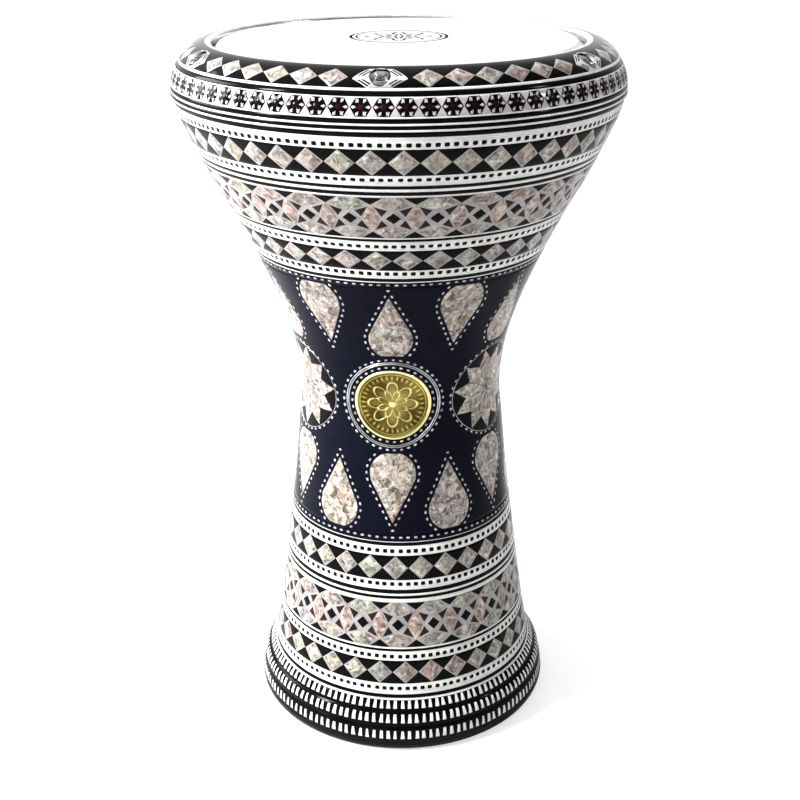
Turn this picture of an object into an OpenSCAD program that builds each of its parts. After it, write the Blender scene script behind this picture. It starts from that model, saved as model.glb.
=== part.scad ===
// Goblet drum (darbuka): a cast aluminium shell covered in inlaid strips, with a clamp ring,
// six tuning bolts and a film head. Millimetres, +Z up, origin on the axis at the foot.
// Angles run around the axis from the front (-Y) towards +X.

/* [Shell outline] */
// Height from the foot to the crest of the clamp ring
drum_h = 445; // [443:0.5:447]
// Diameter of the foot where it is widest
foot_d = 200.8; // [198:0.2:203]
// Diameter of the waist
waist_d = 130.4; // [129.6:0.2:132]
// Diameter of the shoulder, at the seam under the clamp ring
shoulder_d = 272.4; // [270:0.2:274]
// Thickness of the cast wall, measured level
wall_t = 5.6; // [4.6:0.1:6.2]

/* [Inlay] */
// Thickness of every inlaid strip and plate, measured level
inlay_t = 1.2; // [0.8:0.1:1.6]
// Layer of adhesive between the casting and the inlay
glue_t = 0.05; // [0.03:0.01:0.08]
// Joint between two neighbouring inlaid pieces
joint_w = 0.06; // [0.04:0.01:0.1]
// How far the whole pattern is turned around the axis, in degrees
pattern_turn = -4.4; // [-15:0.1:15]

/* [Navy panel] */
// Height of the medallion's centre
medallion_z = 235; // [234:0.5:236]
// Diameter of the brass medallion
medallion_d = 47; // [45:0.1:48]
// Number of points on a star
star_points = 11; // [9:1:12]
// Radius to the tips of a star
star_tip_r = 28.4; // [26.5:0.1:28.6]
// Radius to the valleys of a star
star_valley_r = 19.2; // [17:0.1:21]
// Width of the beaded border around a drop
border_w = 2.3; // [1.8:0.1:2.4]

/* [Head] */
// Radius of the bearing edge's crest
bearing_r = 105; // [104.8:0.1:105.2]
// Thickness of the film
film_t = 0.3; // [0.2:0.05:0.35]

/* [Clamp ring and bolts] */
// Number of tuning bolts
bolt_count = 6; // [6:1:6]
// Radius of the bolt circle
bolt_circle_r = 124; // [123.6:0.1:124.4]
// Thread diameter of a bolt
bolt_d = 6; // [5:0.5:6]
// Head diameter of a bolt
bolt_head_d = 10; // [9:0.1:10.4]
// Length of a bolt under its head
bolt_len = 30; // [26:0.5:31]
// Gap between the clamp ring and the shell's flange
ring_gap = 0.8; // [0.8:0.1:1.2]

/* [Hidden] */
$fn = 180;

// Heights. The shell ends at its flange, and the clamp ring starts a gap above it.
flange_z = drum_h - 30.8;
ring_z = flange_z + ring_gap;
ring_belly_z = drum_h - 28;
seat_z = drum_h - 11.8;
lip_z = drum_h - 8.8;
crest_z = drum_h - 1.5;

// Radii of the head's parts, from the bearing edge outwards
collar_t = 5;
collar_r = bearing_r + collar_t / 2;
skirt_r = bearing_r + 4.6;
hoop_in_r = bearing_r + 3.1;
hoop_slot_r = [bearing_r + 4.2, bearing_r + 5.4];
hoop_out_r = bearing_r + 9.4;
lip_r = bearing_r + 5.9;
ring_cavity_r = hoop_out_r + 0.5;
ring_belly_r = shoulder_d / 2 + 0.1;
ring_crown_r = bearing_r + 8;
ring_bare_r = ring_crown_r + 1.8;

// Foot
foot_rim_z = 9.2;
foot_edge = [5.4, 7];
foot_face_w = 7;

// Bolts
head_h = 6;
hex_w = 5;
hex_depth = 3;
pocket_r = bolt_head_d / 2 + 0.5;
hole_clearance = 0.05;
ring_hole_clearance = 0.3;
bolt_tip_room = 2.2;

// The outline of the finished surface: height, then radius, from the foot to the shoulder.
foot_r = foot_d / 2;
waist_r = waist_d / 2;
shoulder_r = shoulder_d / 2;
OUTLINE = [
    [7, foot_r], [13, foot_r - 1.5], [19, foot_r - 2.5], [24, foot_r - 4], [28, foot_r - 6.2],
    [32, foot_r - 8.9], [37, foot_r - 11], [44, foot_r - 12.2], [60, foot_r - 15.2],
    [110, waist_r + 13.3], [170, waist_r + 5.5], [205, waist_r + 2.1], [230, waist_r],
    [260, waist_r + 4], [290, waist_r + 13.5], [320, waist_r + 26.4], [345, waist_r + 38.6],
    [370, shoulder_r - 19], [390, shoulder_r - 9.8], [405, shoulder_r - 3.4],
    [417, shoulder_r]
];
LAST = len(OUTLINE) - 1;

// Slope of the outline at a station: that of the line through its two neighbours
function slope(i) =
    let (a = OUTLINE[max(i - 1, 0)], b = OUTLINE[min(i + 1, LAST)])
    (b[1] - a[1]) / (b[0] - a[0]);
// Index of the stretch that holds a height
function stretch(z, i = 0) = i == LAST - 1 || z <= OUTLINE[i + 1][0] ? i : stretch(z, i + 1);
// Smooth curve through the stations
function outline_r(z) =
    let (i = stretch(z), a = OUTLINE[i], b = OUTLINE[i + 1], h = b[0] - a[0], t = (z - a[0]) / h)
    a[1] * (1 + 2 * t) * pow(1 - t, 2) + slope(i) * h * t * pow(1 - t, 2)
    + b[1] * t * t * (3 - 2 * t) + slope(i + 1) * h * t * t * (t - 1);
// The three ladder strips stand out as rounded beads
LADDERS = [[foot_rim_z, 18.4], [18.4, 27.9], [27.9, 35]];
bead_h = 0.7;
function bead(z) = max([
    for (l = LADDERS)
        z > l[0] && z < l[1] ? bead_h * sin(180 * (z - l[0]) / (l[1] - l[0])) : 0
]);
function body_r(z) = outline_r(z) + bead(z);

// Points of the outline between two heights, moved in by an inset
step_z = 6;
bed_step_z = 3;
fine_step_z = 1.2;
function levels(z0, z1, step) =
    let (n = ceil((z1 - z0) / step))
    [for (i = [0:n]) z0 + (z1 - z0) * i / n];
function side(z0, z1, inset, step = step_z) =
    [for (z = levels(z0, z1, step)) [body_r(z) - inset, z]];
function flip(list) = [for (i = [len(list) - 1:-1:0]) list[i]];

// A strip laid around the shell between two heights
module strip(z0, z1, step = step_z) {
    low = z0 + joint_w / 2;
    high = z1 - joint_w / 2;
    rotate_extrude()
        polygon(concat(side(low, high, 0, step), flip(side(low, high, inlay_t, step))));
}

// ---------- shell ----------
// Inside the rim, a solid shoulder carries the bolt holes under the bearing edge's collar
throat_z = flange_z - 28;
throat_top_z = flange_z - 10;
bed = inlay_t + glue_t;
flare_z = 60;
arc_step = 15;
function foot_arc() = [
    for (a = [0:arc_step:90])
        [foot_r - foot_edge[0] * (1 - sin(a)), foot_edge[1] * (1 - cos(a))]
];
function collar_arc() = [
    for (a = [0:arc_step:180])
        [bearing_r + collar_t / 2 * cos(a), crest_z + collar_t / 2 * (sin(a) - 1)]
];
foot_face_r = foot_r - foot_edge[0] - foot_face_w;
function shell_section() = concat(
    foot_arc(),
    [[body_r(foot_rim_z), foot_rim_z]],
    side(foot_rim_z, flare_z, bed, fine_step_z),
    side(flare_z + bed_step_z, flange_z, bed, bed_step_z),
    [[collar_r, flange_z]],
    collar_arc(),
    [[bearing_r - collar_t / 2, throat_top_z]],
    flip(side(LADDERS[2][1], throat_z, bed + wall_t)),
    [[foot_face_r, foot_rim_z + 2], [foot_face_r, 0]]
);

module on_bolts(r) {
    for (k = [0:bolt_count - 1])
        rotate([0, 0, pattern_turn + k * 360 / bolt_count]) translate([0, -r, 0]) children();
}

module shell() {
    hole_z = seat_z - bolt_len - bolt_tip_room;
    color("#8f9296")
        difference() {
            rotate_extrude() polygon(shell_section());
            on_bolts(bolt_circle_r)
                translate([0, 0, hole_z]) cylinder(d = bolt_d + 2 * hole_clearance, h = flange_z);
        }
}

// ---------- head ----------
film_gap = 0.05;
wrap_end = 45;
skirt_z = drum_h - 12.2;
// The film lies flat, wraps over the bearing edge and drops as a skirt into the hoop's slot
function film_line(out) =
    let (r = collar_t / 2 + film_gap + out, cz = crest_z - collar_t / 2)
    concat(
        [[0, cz + r]],
        [for (a = [90:-9:wrap_end]) [bearing_r + r * cos(a), cz + r * sin(a)]],
        [[skirt_r + out, cz + (r / sin(wrap_end)) - (skirt_r + out - bearing_r)], [skirt_r + out, skirt_z]]
    );

module head_film() {
    color("#f4f3ef") rotate_extrude() polygon(concat(film_line(0), flip(film_line(film_t))));
}

// ---------- strips around the shell ----------
black = "#17171c";
white = "#eceae4";
pearl = "#cfc6bd";
rose = "#c3a79f";
module stripe_strip_a() { color(black) strip(411, flange_z); }
module dot_strip_a() { color(white) strip(405.4, 411); }
module diamond_band_a() { color(pearl) strip(390.4, 405.4); }
module dot_strip_b() { color(white) strip(385, 390.4); }
module stripe_strip_b() { color(black) strip(377.5, 385); }
module lattice_band_a() { color(rose) strip(351.4, 377.5); }
module stripe_strip_c() { color(black) strip(348.4, 351.4); }
module dot_strip_c() { color(white) strip(342.7, 348.4); }
module diamond_band_b() { color(pearl) strip(329.4, 342.7); }
module dot_strip_d() { color(white) strip(323.8, 329.4); }
module stripe_strip_d() { color(black) strip(317.6, 323.8); }
module stripe_strip_e() { color(black) strip(140.5, 148.2); }
module dot_strip_e() { color(white) strip(133.8, 140.5); }
module diamond_band_c() { color(pearl) strip(117.2, 133.8); }
module dot_strip_f() { color(white) strip(111, 117.2); }
module stripe_strip_f() { color(black) strip(103.5, 111); }
module lattice_band_b() { color(rose) strip(70.4, 103.5); }
module stripe_strip_g() { color(black) strip(67.2, 70.4); }
module dot_strip_g() { color(white) strip(60.9, 67.2); }
module diamond_band_d() { color(pearl) strip(45.2, 60.9); }
module dot_strip_h() { color(white) strip(38.4, 45.2); }
module stripe_strip_h() { color(black) strip(35, 38.4); }
module ladder_strip_a() { color(white) strip(LADDERS[2][0], LADDERS[2][1], fine_step_z); }
module ladder_strip_b() { color(white) strip(LADDERS[1][0], LADDERS[1][1], fine_step_z); }
module ladder_strip_c() { color(white) strip(LADDERS[0][0], LADDERS[0][1], fine_step_z); }

// ---------- navy panel and what is set in it ----------
panel_z = [148.2, 317.6];
panel_step_z = 12;
cut_from_r = 55;
cut_to_r = 110;
border_out_r = 31.4;
star_border_in_r = 29.2;
// Each kind of drop: height of the round end's centre, its radius, distance to the tip,
// direction of the tip, distance to the flat that trims the round end, and first angle
UPPER_MAIN = [280, 13.4, 30.5, 1, 11.7, 0];
LOWER_MAIN = [188.5, 14.6, 33, -1, 13.7, 0];
UPPER_BETWEEN = [305, 14, 30, -1, 11.6, 30];
LOWER_BETWEEN = [162.5, 14.3, 32.5, 1, 13.2, 30];
DROPS = [UPPER_MAIN, LOWER_MAIN, UPPER_BETWEEN, LOWER_BETWEEN];

drop_steps = 8;

// A drop: straight sides from the tip, touching a round end that a flat trims.
// The margin widens its sides and keeps the flat in place.
module drop_shape(d, margin) {
    r = d[1] + margin;
    tip = d[2] * r / d[1];
    touch = acos(d[1] / d[2]);
    trim = 180 - acos((d[4] + min(margin, 0)) / r);
    half = [
        for (i = [0:drop_steps])
            let (a = touch + (trim - touch) * i / drop_steps) [r * sin(a), r * cos(a)]
    ];
    left = [for (p = flip(half)) [-p[0], p[1]]];
    scale_y = d[3];
    polygon([for (p = concat([[0, tip]], half, left)) [p[0], p[1] * scale_y]]);
}

module star_shape(margin) {
    polygon([for (i = [0:2 * star_points - 1])
        let (a = 180 * i / star_points, r = (i % 2 == 0 ? star_tip_r : star_valley_r) + margin)
        [r * sin(a), -r * cos(a)]]);
}

// Runs a flat shape straight outwards through the panel, at an angle and a height
module cutter(angle, z) {
    rotate([0, 0, pattern_turn + angle]) translate([0, -cut_from_r, z]) rotate([90, 0, 0])
        linear_extrude(height = cut_to_r - cut_from_r) children();
}
module drop_cutters(d, margin) {
    for (k = [0:5]) cutter(d[5] + 60 * k, d[0]) drop_shape(d, margin);
}
module panel_ring() { strip(panel_z[0], panel_z[1], panel_step_z); }

module navy_panel() {
    color("#15162a")
        difference() {
            panel_ring();
            for (d = DROPS) drop_cutters(d, border_w);
            for (k = [0:5]) cutter(60 * k, medallion_z) circle(r = border_out_r);
        }
}
module drops(d) {
    color(pearl) intersection() { panel_ring(); drop_cutters(d, -joint_w); }
}
module drops_upper_main() { drops(UPPER_MAIN); }
module drops_lower_main() { drops(LOWER_MAIN); }
module drops_upper_between() { drops(UPPER_BETWEEN); }
module drops_lower_between() { drops(LOWER_BETWEEN); }
module drop_borders() {
    color(white)
        intersection() {
            panel_ring();
            for (d = DROPS, k = [0:5])
                cutter(d[5] + 60 * k, d[0])
                    difference() { drop_shape(d, border_w - joint_w); drop_shape(d, 0); }
        }
}

// Stars stand at every place but the front, which holds the medallion
module stars_at() {
    intersection() {
        panel_ring();
        for (k = [1:5]) cutter(60 * k, medallion_z) children();
    }
}
module star_plates() { color(pearl) stars_at() star_shape(-joint_w); }
module star_grounds() {
    color(black)
        stars_at() difference() { circle(r = star_border_in_r - joint_w); star_shape(0); }
}
module ring_shape(r_out, r_in) { difference() { circle(r = r_out); circle(r = r_in); } }
module star_borders() {
    color(white) stars_at() ring_shape(border_out_r - joint_w, star_border_in_r);
}
module medallion() {
    color("#b8962e")
        intersection() {
            panel_ring();
            cutter(0, medallion_z) circle(d = medallion_d - 2 * joint_w);
        }
}
module medallion_border() {
    color("silver")
        intersection() {
            panel_ring();
            cutter(0, medallion_z) ring_shape(border_out_r - joint_w, medallion_d / 2);
        }
}

// ---------- clamp ring ----------
// The crown is a quarter ellipse from the belly up to the crest
crown_h = drum_h - ring_belly_z;
crown_w = ring_belly_r - ring_crown_r;
function crown_angle(z) = asin((z - ring_belly_z) / crown_h);
function crown_point(a, inset) = [
    ring_crown_r + (crown_w - inset) * cos(a),
    ring_belly_z + (crown_h - inset) * sin(a)
];
crown_step = 6;
function crown_arc(a0, a1, inset) =
    let (n = ceil((a1 - a0) / crown_step)) [for (i = [0:n]) crown_point(a0 + (a1 - a0) * i / n, inset)];
top_band_a = acos((ring_bare_r - ring_crown_r) / crown_w);
band_a = [crown_angle(drum_h - 22.3), crown_angle(drum_h - 13.1), crown_angle(drum_h - 8.8)];
joint_a = 0.06;

module crown_strip(a0, a1) {
    low = a0 + joint_a;
    high = a1 - joint_a;
    rotate_extrude() polygon(concat(crown_arc(low, high, 0), flip(crown_arc(low, high, inlay_t))));
}

lip_round = 2.2;
module tuning_ring() {
    section = concat(
        [[ring_cavity_r, ring_z], [ring_belly_r - bed, ring_z]],
        crown_arc(0, top_band_a, bed),
        [crown_point(top_band_a, 0), crown_point(90, 0)],
        [for (a = [90:arc_step:180])
            [lip_r + lip_round * (1 + cos(a)), drum_h + lip_round * (sin(a) - 1)]],
        [[lip_r, lip_z], [ring_cavity_r, lip_z]]
    );
    color("#a9acb0")
        difference() {
            rotate_extrude() polygon(section);
            on_bolts(bolt_circle_r) {
                translate([0, 0, seat_z]) cylinder(r = pocket_r, h = crown_h);
                cylinder(d = bolt_d + 2 * ring_hole_clearance, h = drum_h);
            }
        }
}

// The hoop is a channel: the film's skirt hangs in its slot
hoop_h = 10;
slot_depth = 9;
module flesh_hoop() {
    top = lip_z - glue_t;
    color("#b4b6b9")
        rotate_extrude()
            polygon([
                [hoop_in_r, top - hoop_h], [hoop_out_r, top - hoop_h], [hoop_out_r, top],
                [hoop_slot_r[1], top], [hoop_slot_r[1], top - slot_depth],
                [hoop_slot_r[0], top - slot_depth], [hoop_slot_r[0], top], [hoop_in_r, top]
            ]);
}

module ring_lower_stripes() {
    belly = ring_belly_r;
    color(black)
        rotate_extrude()
            polygon(concat(
                [[belly - inlay_t, ring_z], [belly, ring_z]],
                crown_arc(0, band_a[0] - joint_a, 0),
                flip(crown_arc(0, band_a[0] - joint_a, inlay_t))
            ));
}
module ring_mosaic_band() { color("#6b2330") crown_strip(band_a[0], band_a[1]); }
module ring_upper_stripes() { color(black) crown_strip(band_a[1], band_a[2]); }

// The plate around a bolt is a rhomb in plan, with the bolt's pocket through it
surround_in_r = ring_bare_r - 1;
surround_out_r = crown_point(band_a[2], 0)[0] + 1;
surround_half_w = 14;
module surround_shape(margin) {
    mid = (surround_in_r + surround_out_r) / 2;
    polygon([
        [0, -surround_in_r + margin], [surround_half_w + margin, -mid],
        [0, -surround_out_r - margin], [-surround_half_w - margin, -mid]
    ]);
}
module at_each_bolt() {
    for (k = [0:bolt_count - 1]) rotate([0, 0, pattern_turn + k * 360 / bolt_count]) children();
}
module diamond_ring() { crown_strip(band_a[2], top_band_a); }
module ring_diamond_band() {
    color(pearl)
        difference() {
            diamond_ring();
            at_each_bolt() linear_extrude(height = drum_h + 1) surround_shape(0);
            on_bolts(bolt_circle_r) cylinder(r = pocket_r, h = drum_h + 1);
        }
}
module bolt_surrounds() {
    color("silver")
        difference() {
            intersection() {
                diamond_ring();
                at_each_bolt() linear_extrude(height = drum_h + 1) surround_shape(-joint_w);
            }
            on_bolts(bolt_circle_r) cylinder(r = pocket_r, h = drum_h + 1);
        }
}

// ---------- bolts ----------
module tuning_bolt(k) {
    color("#d6d8da")
        rotate([0, 0, pattern_turn + k * 360 / bolt_count]) translate([0, -bolt_circle_r, seat_z + glue_t])
            difference() {
                union() {
                    cylinder(d = bolt_head_d, h = head_h);
                    translate([0, 0, -bolt_len]) cylinder(d = bolt_d, h = bolt_len);
                }
                translate([0, 0, head_h - hex_depth])
                    cylinder(d = hex_w / cos(30), h = hex_depth + 1, $fn = 6);
            }
}
module tuning_bolt_1() { tuning_bolt(0); }
module tuning_bolt_2() { tuning_bolt(1); }
module tuning_bolt_3() { tuning_bolt(2); }
module tuning_bolt_4() { tuning_bolt(3); }
module tuning_bolt_5() { tuning_bolt(4); }
module tuning_bolt_6() { tuning_bolt(5); }

shell();
head_film();
stripe_strip_a();
dot_strip_a();
diamond_band_a();
dot_strip_b();
stripe_strip_b();
lattice_band_a();
stripe_strip_c();
dot_strip_c();
diamond_band_b();
dot_strip_d();
stripe_strip_d();
navy_panel();
stripe_strip_e();
dot_strip_e();
diamond_band_c();
dot_strip_f();
stripe_strip_f();
lattice_band_b();
stripe_strip_g();
dot_strip_g();
diamond_band_d();
dot_strip_h();
stripe_strip_h();
ladder_strip_a();
ladder_strip_b();
ladder_strip_c();
drops_upper_main();
drops_lower_main();
drops_upper_between();
drops_lower_between();
drop_borders();
star_plates();
star_grounds();
star_borders();
medallion();
medallion_border();
tuning_ring();
flesh_hoop();
ring_lower_stripes();
ring_mosaic_band();
ring_upper_stripes();
ring_diamond_band();
bolt_surrounds();
tuning_bolt_1();
tuning_bolt_2();
tuning_bolt_3();
tuning_bolt_4();
tuning_bolt_5();
tuning_bolt_6();
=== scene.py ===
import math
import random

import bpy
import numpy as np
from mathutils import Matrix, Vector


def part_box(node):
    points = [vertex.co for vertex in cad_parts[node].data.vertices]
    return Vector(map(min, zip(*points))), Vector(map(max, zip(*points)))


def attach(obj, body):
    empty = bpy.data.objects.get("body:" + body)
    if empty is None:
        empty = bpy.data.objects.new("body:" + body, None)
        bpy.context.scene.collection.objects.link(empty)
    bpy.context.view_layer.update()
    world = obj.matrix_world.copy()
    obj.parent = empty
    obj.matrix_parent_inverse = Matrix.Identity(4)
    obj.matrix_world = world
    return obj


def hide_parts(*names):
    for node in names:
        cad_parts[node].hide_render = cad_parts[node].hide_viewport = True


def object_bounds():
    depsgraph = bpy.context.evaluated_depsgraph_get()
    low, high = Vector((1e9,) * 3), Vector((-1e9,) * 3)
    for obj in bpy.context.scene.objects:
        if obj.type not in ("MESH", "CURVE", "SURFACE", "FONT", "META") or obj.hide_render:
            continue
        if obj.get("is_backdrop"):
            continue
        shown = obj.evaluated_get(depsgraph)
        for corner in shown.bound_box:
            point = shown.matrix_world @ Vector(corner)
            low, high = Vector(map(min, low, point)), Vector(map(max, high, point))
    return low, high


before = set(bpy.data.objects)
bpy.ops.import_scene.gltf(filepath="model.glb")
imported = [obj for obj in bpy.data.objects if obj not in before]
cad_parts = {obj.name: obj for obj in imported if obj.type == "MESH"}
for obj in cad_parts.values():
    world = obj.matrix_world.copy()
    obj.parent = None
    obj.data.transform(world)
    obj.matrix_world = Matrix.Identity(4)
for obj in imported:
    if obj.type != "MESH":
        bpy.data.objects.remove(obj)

# The looks of the goblet drum: tile inlay, lacquer, medallion, head label, bolts and studio.
# Lengths are in millimetres until a mesh is made, and angles run around the axis from the
# front (-Y) towards +X. A place on the finished surface is an angle and an arc length s,
# which runs up the outline from the foot. The surface and the places of parts are read from
# the frame, and the sizes of the pattern's own pieces are set here.

MM = 0.001
CAD_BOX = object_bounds()
rng = random.Random(29)


# ---------- places, read from the frame ----------

def node_box(node):
    """Lowest and highest corner of a CAD node, in millimetres."""
    low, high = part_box(node)
    return low / MM, high / MM


def node_angle(node):
    """Angle around the axis at which a CAD node stands."""
    low, high = node_box(node)
    return math.atan2(low.x + high.x, -low.y - high.y)


def heights(node):
    """Bottom and top height of a CAD node."""
    low, high = node_box(node)
    return low.z, high.z


SIXTH = math.tau / 6
BOLTS = [f"tuning_bolt_{k}" for k in range(1, 7)]
FRONT = node_angle(BOLTS[0])
CROWN = "ring_diamond_band"  # the one skin that faces up more than out


class Skin:
    """The finished surface's outline, read from the outward faces of the CAD's inlaid skins."""

    MERGE = 0.3  # levels closer than this are one
    FINE = 10  # samples between two levels

    def __init__(self, nodes):
        level = {}
        for node in nodes:
            for r, z in self.outward_corners(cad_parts[node].data, node == CROWN):
                key = round(z, 2)
                level[key] = max(r, level.get(key, 0))
        kept = []
        for z in sorted(level):
            if not kept or math.hypot(z - kept[-1][0], level[z] - kept[-1][1]) > self.MERGE:
                kept.append((z, level[z]))
        z, r = np.array(kept).T
        s = self.run(z, r)
        fine = np.unique(np.concatenate(
            [np.linspace(a, b, self.FINE) for a, b in zip(s[:-1], s[1:])]))
        self.z = self.hermite(fine, s, z)
        self.r = self.hermite(fine, s, r)
        self.s = self.run(self.z, self.r)
        slope = np.stack([np.gradient(self.z, self.s), -np.gradient(self.r, self.s)])
        self.nr, self.nz = slope / np.hypot(*slope)
        self.widest = int(np.argmax(self.r * (self.z > z.mean())))

    @staticmethod
    def run(z, r):
        return np.concatenate([[0], np.cumsum(np.hypot(np.diff(z), np.diff(r)))])

    @staticmethod
    def outward_corners(mesh, crowned):
        """(radius, height) of every corner of the faces that look away from the wall."""
        mesh.calc_loop_triangles()
        count = len(mesh.loop_triangles)
        corner = np.empty(count * 3, np.int32)
        normal = np.empty(count * 3, np.float32)
        mesh.loop_triangles.foreach_get("vertices", corner)
        mesh.loop_triangles.foreach_get("normal", normal)
        points = np.array([v.co for v in mesh.vertices])[corner.reshape(-1, 3)] / MM
        normal = normal.reshape(-1, 3)
        middle = points.mean(1)
        r = np.hypot(middle[:, 0], middle[:, 1])
        outward = (middle[:, :2] * normal[:, :2]).sum(1) / r
        if crowned:
            finished = (outward > 0.04) & (normal[:, 2] > 0.5)
        else:
            finished = (outward > 0.6) & (normal[:, 2] > -0.5)
        chosen = points[finished].reshape(-1, 3)
        return np.stack([np.hypot(chosen[:, 0], chosen[:, 1]), chosen[:, 2]], 1)

    @staticmethod
    def hermite(at, s, y):
        """Smooth curve through the levels."""
        i = np.clip(np.searchsorted(s, at) - 1, 0, len(s) - 2)
        h = s[i + 1] - s[i]
        t = (at - s[i]) / h
        m = np.gradient(y, s)
        return (y[i] * (1 + 2 * t) * (1 - t) ** 2 + m[i] * h * t * (1 - t) ** 2
                + y[i + 1] * t * t * (3 - 2 * t) + m[i + 1] * h * t * t * (t - 1))

    def s_at(self, z):
        """Arc length at a height."""
        return np.interp(z, self.z, self.s)

    def s_on_crown(self, r):
        """Arc length at a radius on the clamp ring's crown, above the widest place."""
        top = slice(self.widest, None)
        return np.interp(-np.asarray(r), -self.r[top], self.s[top])

    def r_at(self, s):
        return np.interp(s, self.s, self.r)

    def place(self, angle, s, lift):
        """Points on the surface, lifted along its normal."""
        r = np.interp(s, self.s, self.r) + np.interp(s, self.s, self.nr) * lift
        z = np.interp(s, self.s, self.z) + np.interp(s, self.s, self.nz) * lift
        return np.stack(np.broadcast_arrays(r * np.sin(angle), -r * np.cos(angle), z), -1)


LETTERS = "abcdefgh"
STRIPES = [f"stripe_strip_{c}" for c in LETTERS]
DOTTED = [f"dot_strip_{c}" for c in LETTERS]
DIAMONDS = [f"diamond_band_{c}" for c in LETTERS[:4]]
LATTICES = [f"lattice_band_{c}" for c in LETTERS[:2]]
LADDERS = [f"ladder_strip_{c}" for c in LETTERS[:3]]
RING_SKINS = ["ring_lower_stripes", "ring_mosaic_band", "ring_upper_stripes", "ring_diamond_band"]
skin = Skin(STRIPES + DOTTED + DIAMONDS + LATTICES + LADDERS + RING_SKINS + ["navy_panel"])


def levels(node):
    """Arc lengths at the bottom and top of a CAD node."""
    return [float(skin.s_at(z)) for z in heights(node)]


def on_band(angle, s):
    """Lays a flat shape (x along the band, y up the surface) at an angle and an arc length."""
    r = float(skin.r_at(s))
    return lambda x, y, lift: skin.place(angle + x / r, s + y, lift)


def cut_straight(angle, z):
    """Lays a flat shape (x level, y upright) where it is cut straight in towards the axis."""
    def lay(x, y, lift):
        s = skin.s_at(z + y)
        return skin.place(angle + np.arcsin(x / skin.r_at(s)), s, lift)
    return lay


def in_plan(angle, radius):
    """Lays a flat shape (x level, y outwards) seen from above, on the clamp ring's crown."""
    def lay(x, y, lift):
        s = skin.s_on_crown(np.hypot(x, radius + y))
        return skin.place(angle + np.arctan2(x, radius + y), s, lift)
    return lay


# ---------- meshes ----------

def new_object(name, data):
    piece = bpy.data.objects.new(name, data)
    bpy.context.scene.collection.objects.link(piece)
    return piece


class Pieces:
    """Collects pieces that share one material into one mesh."""

    def __init__(self):
        self.points, self.faces, self.smooth, self.grain, self.tone = [], [], [], [], []
        self.count = 0

    def add(self, points, faces, smooth, grain=None, tone=0.5):
        self.points.append(points)
        self.faces.extend([tuple(i + self.count for i in f) for f in faces])
        self.smooth.extend(smooth)
        self.grain.append(points if grain is None else grain)
        self.tone.append(np.broadcast_to(tone, len(points)))
        self.count += len(points)

    def rings(self, points, around, smooth, closed_end=True, **extra):
        """Joins rings of points, outermost first, and closes them on a last point."""
        count = len(points) // around
        faces, shading = [], []
        for k in range(count - 1):
            for i in range(around):
                j = (i + 1) % around
                a, b = k * around, (k + 1) * around
                faces.append((a + i, a + j, b + j, b + i))
            shading += [smooth[min(k, len(smooth) - 1)]] * around
        if closed_end:
            last = (count - 1) * around
            faces += [(last + i, last + (i + 1) % around, count * around) for i in range(around)]
            shading += [smooth[-1]] * around
        self.add(points, faces, shading, **extra)

    def build(self, name, look, body, slot, *nodes):
        """Makes the object, which rides on a body and stands for CAD nodes."""
        mesh = bpy.data.meshes.new(name)
        points = np.concatenate(self.points) * MM
        mesh.from_pydata(points.tolist(), [], self.faces)
        mesh.polygons.foreach_set("use_smooth", self.smooth)
        grain = mesh.attributes.new("grain", "FLOAT_VECTOR", "POINT")
        grain.data.foreach_set("vector", np.concatenate(self.grain).astype(np.float32).ravel())
        tone = mesh.attributes.new("tone", "FLOAT", "POINT")
        tone.data.foreach_set("value", np.concatenate(self.tone).astype(np.float32))
        mesh.materials.append(look)
        mesh.update()
        piece = new_object(name, mesh)
        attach(piece, body)
        if nodes:
            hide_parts(*nodes)


def split_sides(points, longest):
    """Splits the sides of a closed outline so that none is longer than a limit."""
    points = np.asarray(points, float)
    out = []
    for a, b in zip(points, np.roll(points, -1, 0)):
        n = max(1, math.ceil(math.hypot(*(b - a)) / longest))
        out.extend(a + (b - a) * k / n for k in range(n))
    return np.array(out)


def move_in(points, margin):
    """Moves the sides of a closed counter-clockwise outline inwards."""
    along = np.roll(points, -1, 0) - points
    along /= np.linalg.norm(along, axis=1)[:, None]
    inward = np.stack([-along[:, 1], along[:, 0]], 1)
    before = np.roll(inward, 1, 0)
    sharpness = np.maximum(0.3, 1 + (inward * before).sum(1))
    return points + (inward + before) * (margin / sharpness)[:, None]


def counter_clockwise(points):
    points = np.asarray(points, float)
    x, y = points.T
    area = (x * np.roll(y, -1) - np.roll(x, -1) * y).sum()
    return points if area > 0 else points[::-1]


RISE = 0.06  # how far a polished tile stands above the ground it is set in
SINK = 0.3  # how deep its sides go
BEVEL = 0.14


def tile(into, outline, lay, rise=RISE, bevel=BEVEL, longest=3.0, tone=None, crown=0.0):
    """One inlaid piece: an outline laid on the surface, with a bevelled edge and its own grain."""
    outer = split_sides(counter_clockwise(outline), longest)
    inner = move_in(outer, bevel)
    centre = inner.mean(0)
    reach = np.linalg.norm(inner - centre, axis=1).max()
    steps = max(1, round(reach / longest))
    rings = [(outer, -SINK), (outer, rise - bevel / 2), (inner, rise)]
    for k in range(1, steps):
        share = 1 - k / steps
        rings.append((centre + (inner - centre) * share, rise + crown * (1 - share ** 2)))
    flat = np.concatenate([ring for ring, _ in rings] + [centre[None]])
    lift = np.concatenate([np.full(len(outer), up) for _, up in rings] + [[rise + crown]])
    turn = rng.uniform(0, math.tau)
    across, up = (flat - centre).T
    grain = np.stack([
        across * math.cos(turn) - up * math.sin(turn),
        across * math.sin(turn) + up * math.cos(turn),
        np.full(len(flat), rng.uniform(0, 900))], 1)
    if tone is None:
        tone = rng.random()
    into.rings(lay(flat[:, 0], flat[:, 1], lift), len(outer), [False, False, True],
               grain=grain, tone=tone)


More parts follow.
